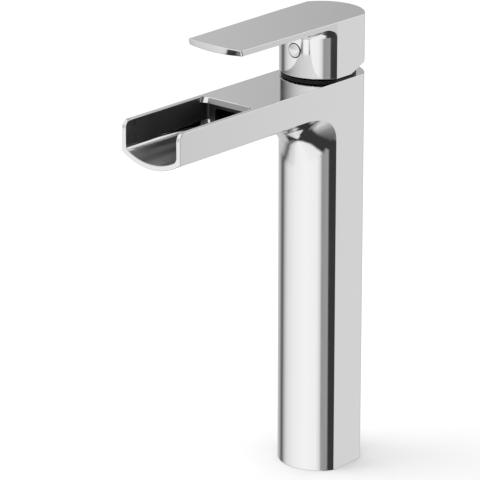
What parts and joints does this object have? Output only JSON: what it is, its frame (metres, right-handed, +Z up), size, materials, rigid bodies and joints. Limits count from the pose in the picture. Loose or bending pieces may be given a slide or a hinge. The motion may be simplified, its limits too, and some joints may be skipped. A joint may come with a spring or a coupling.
{
  "type": "basin faucet",
  "caption": "Tall single-lever basin mixer: flat-sided chrome column, open waterfall spout and a flat lever that lifts for flow and swings for heat.",
  "frame": {"origin": "centre of the foot, on the deck that the mixer stands on", "axes": "+Z up along the column, spout and lever towards -Y, flats facing +X and -X"},
  "size_m": [0.047, 0.1875, 0.3],
  "materials": {
    "chromed_body": "polished chrome plating on cast brass",
    "chromed_handle": "polished chrome plating on cast metal",
    "chromed_plug": "polished chrome",
    "brass": "machined brass",
    "steel": "machined stainless steel",
    "rubber": "matt black seal rubber",
    "black_plastic": "satin black moulding",
    "cartridge_plastic": "moulded plastic",
    "white_plastic": "low-friction moulded plastic",
    "ceramic": "lapped white ceramic"
  },
  "bodies": {
    "tap": {"faucet_body": "chromed_body", "foot_plate": "brass", "base_gasket": "rubber", "cartridge_base": "cartridge_plastic", "cartridge_seals": "rubber", "fixed_disc": "ceramic", "cartridge_housing": "cartridge_plastic", "housing_seal": "rubber", "glide_washer": "white_plastic", "retaining_nut": "brass", "cap_ring": "black_plastic"},
    "rotor": {"stem_rotor": "white_plastic", "rotor_seal": "rubber", "pivot_pin": "steel"},
    "lever": {"lever_handle": "chromed_handle", "control_stem": "steel", "grub_screw": "steel", "index_plug": "chromed_plug", "index_ring": "rubber"},
    "disc": {"moving_disc": "ceramic", "disc_carrier": "white_plastic"}
  },
  "joints": [
    {"name": "lever_swing", "type": "hinge", "parent": "tap", "child": "rotor", "pos_m": [0, 0, 0.256], "axis": [0, 0, 1], "range_deg": [-50, 50]},
    {"name": "lever_lift", "type": "hinge", "parent": "rotor", "child": "lever", "pos_m": [0, 0, 0.256], "axis": [-1, 0, 0], "range_deg": [0, 22]},
    {"name": "disc_slide", "type": "slide", "parent": "rotor", "child": "disc", "axis": [0, -1, 0], "range_m": [0, 0.00431]}
  ],
  "couplings": [
    {"joint": "disc_slide", "follows": "lever_lift", "m_per_rad": 0.01122}
  ]
}
